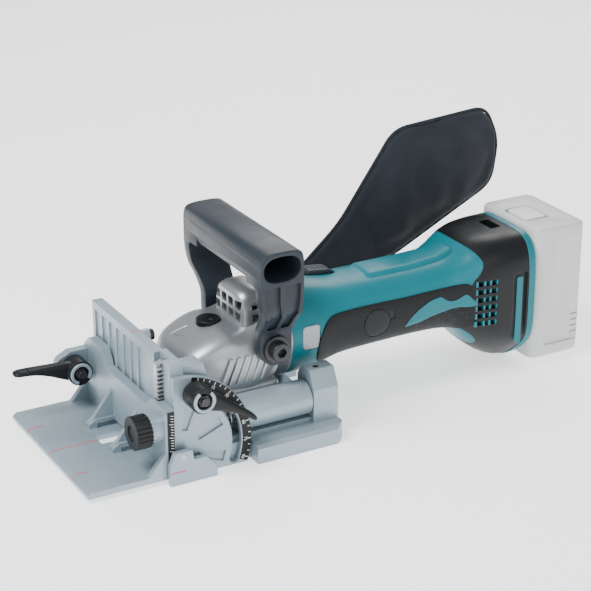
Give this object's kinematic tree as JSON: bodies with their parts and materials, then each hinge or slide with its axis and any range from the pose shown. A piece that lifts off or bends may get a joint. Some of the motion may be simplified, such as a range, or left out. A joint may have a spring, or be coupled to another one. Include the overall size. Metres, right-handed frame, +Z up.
{
  "type": "biscuit joiner",
  "caption": "Hand-held cordless plate joiner: a plunging motor unit drives a grooving blade through a tilting fence with a height-set angle guide.",
  "frame": {"origin": "on the plane of symmetry at the base's underside, just ahead of the fence's front face at 90 degrees", "axes": "+Z up, +Y from the fence to the battery, +X to the side with the angle scale"},
  "size_m": [0.1724, 0.438, 0.178],
  "materials": {
    "cast_grey": "satin",
    "gear_silver": "satin",
    "steel": "brushed",
    "bright_steel": "polished",
    "black_steel": "satin",
    "teal_plastic": "satin",
    "black_plastic": "matte",
    "grey_plastic": "satin",
    "black_rubber": "matte",
    "bag_cloth": "woven",
    "pale_plastic": "satin",
    "copper": "satin",
    "window_grey": "gloss"
  },
  "bodies": {
    "base": {"base_frame": "cast_grey", "blade_cover": "cast_grey", "cover_screws": "steel", "tower_set_screws": "black_steel", "hinge_pins": "steel", "guide_rods": "bright_steel", "return_springs": "steel", "fence_lock_bolt": "steel", "lock_washer": "steel"},
    "stopper": {"depth_stopper": "black_plastic"},
    "fence_plate": {"fence": "cast_grey", "angle_scale": "cast_grey", "sight_screw": "black_steel"},
    "guide_slider": {"height_rack": "steel", "clamp_nut": "steel"},
    "guide": {"angle_guide": "cast_grey", "guide_lock_bolt": "steel", "height_scale": "black_plastic"},
    "knob": {"height_knob": "black_plastic"},
    "guide_lever": {"guide_lock_lever": "black_plastic", "guide_lever_ring": "bright_steel"},
    "fence_lever": {"fence_lock_lever": "black_plastic", "fence_lever_ring": "bright_steel"},
    "motor_unit": {"gear_housing": "gear_silver", "vent_cover": "gear_silver", "bearing_box": "gear_silver", "stator": "black_steel", "spindle_bearings": "bright_steel", "armature_bearings": "bright_steel", "carbon_brushes": "black_steel", "brush_holders": "copper", "brush_caps": "black_plastic", "motor_housing": "teal_plastic", "soft_grip": "black_rubber", "side_window": "window_grey", "rear_housing": "black_plastic", "seat_rim": "teal_plastic", "terminal_block": "black_plastic", "switch_unit": "black_plastic", "housing_screws": "steel", "handle_bolts": "black_steel", "handle_washers": "steel"},
    "depth_screw": {"depth_adjusting_screw": "steel"},
    "cutter": {"spindle": "steel", "inner_flange": "steel", "lock_nut": "black_steel", "blade": "steel", "bevel_gear": "steel"},
    "rotor": {"armature": "copper", "bevel_pinion": "steel", "fan": "black_plastic"},
    "lock_button": {"shaft_lock": "black_plastic"},
    "switch": {"slide_switch": "grey_plastic", "switch_link": "black_plastic"},
    "handle": {"d_handle": "grey_plastic"},
    "battery": {"battery_pack": "pale_plastic"},
    "battery_release": {"battery_button": "pale_plastic"},
    "dust_collector": {"dust_nozzle": "black_plastic", "dust_bag": "bag_cloth"}
  },
  "joints": [
    {"name": "plunge", "type": "slide", "parent": "base", "child": "motor_unit", "axis": [0, -1, 0], "range_m": [0, 0.0215]},
    {"name": "spindle_spin", "type": "hinge", "parent": "motor_unit", "child": "cutter", "pos_m": [0, 0.0535, 0.03], "axis": [0, 0, 1], "continuous": true},
    {"name": "armature_spin", "type": "hinge", "parent": "motor_unit", "child": "rotor", "pos_m": [0, 0.15, 0.065], "axis": [0, 1, 0], "continuous": true},
    {"name": "fence_tilt", "type": "hinge", "parent": "base", "child": "fence_plate", "pos_m": [0, 0.0045, 0.02], "axis": [1, 0, 0], "range_deg": [0, 90]},
    {"name": "guide_clearance_lift", "type": "slide", "parent": "fence_plate", "child": "guide_slider", "axis": [0, 0, 1], "range_m": [0, 0.0229]},
    {"name": "guide_height", "type": "slide", "parent": "guide_slider", "child": "guide", "axis": [0, 0, 1], "range_m": [0, 0.03]},
    {"name": "height_knob_turn", "type": "hinge", "parent": "guide", "child": "knob", "pos_m": [0.057, -0.015, 0.038], "axis": [0, 1, 0], "range_deg": [-345, 0]},
    {"name": "guide_lever_turn", "type": "hinge", "parent": "guide", "child": "guide_lever", "pos_m": [-0.06, -0.018, 0.038], "axis": [1, 0, 0], "range_deg": [-75, 8]},
    {"name": "fence_lever_turn", "type": "hinge", "parent": "base", "child": "fence_lever", "pos_m": [0.075, 0.0166, 0.0638], "axis": [1, 0, 0], "range_deg": [-12, 75]},
    {"name": "stopper_turn", "type": "hinge", "parent": "base", "child": "stopper", "pos_m": [-0.024, 0.122, 0.02], "axis": [0, 0, 1], "range_deg": [-300, 0]},
    {"name": "depth_screw_turn", "type": "hinge", "parent": "motor_unit", "child": "depth_screw", "pos_m": [-0.024, 0.16, 0.023], "axis": [0, 1, 0], "range_deg": [-180, 180]},
    {"name": "shaft_lock_press", "type": "slide", "parent": "motor_unit", "child": "lock_button", "axis": [0, 0, -1], "range_m": [0, 0.002], "stiffness_N_per_m": 800, "springref_m": -0.001},
    {"name": "switch_slide", "type": "slide", "parent": "motor_unit", "child": "switch", "axis": [0, -1, 0], "range_m": [0, 0.006]},
    {"name": "handle_tilt", "type": "hinge", "parent": "motor_unit", "child": "handle", "pos_m": [0, 0.092, 0.071], "axis": [1, 0, 0], "range_deg": [-20, 25]},
    {"name": "battery_slide", "type": "slide", "parent": "motor_unit", "child": "battery", "axis": [0, 0, 1], "range_m": [0, 0.09]},
    {"name": "battery_button_press", "type": "slide", "parent": "battery", "child": "battery_release", "axis": [0, 0, -1], "range_m": [0, 0.0025], "stiffness_N_per_m": 800, "springref_m": -0.001},
    {"name": "nozzle_turn", "type": "hinge", "parent": "base", "child": "dust_collector", "pos_m": [-0.074, 0.144, 0.022], "axis": [1, 0, 0], "range_deg": [-12, 25]}
  ],
  "couplings": [
    {"joint": "armature_spin", "follows": "spindle_spin", "ratio": 3},
    {"joint": "guide_clearance_lift", "follows": "fence_tilt", "m_per_rad": 0.014515},
    {"joint": "height_knob_turn", "follows": "guide_height", "rad_per_m": -200}
  ]
}
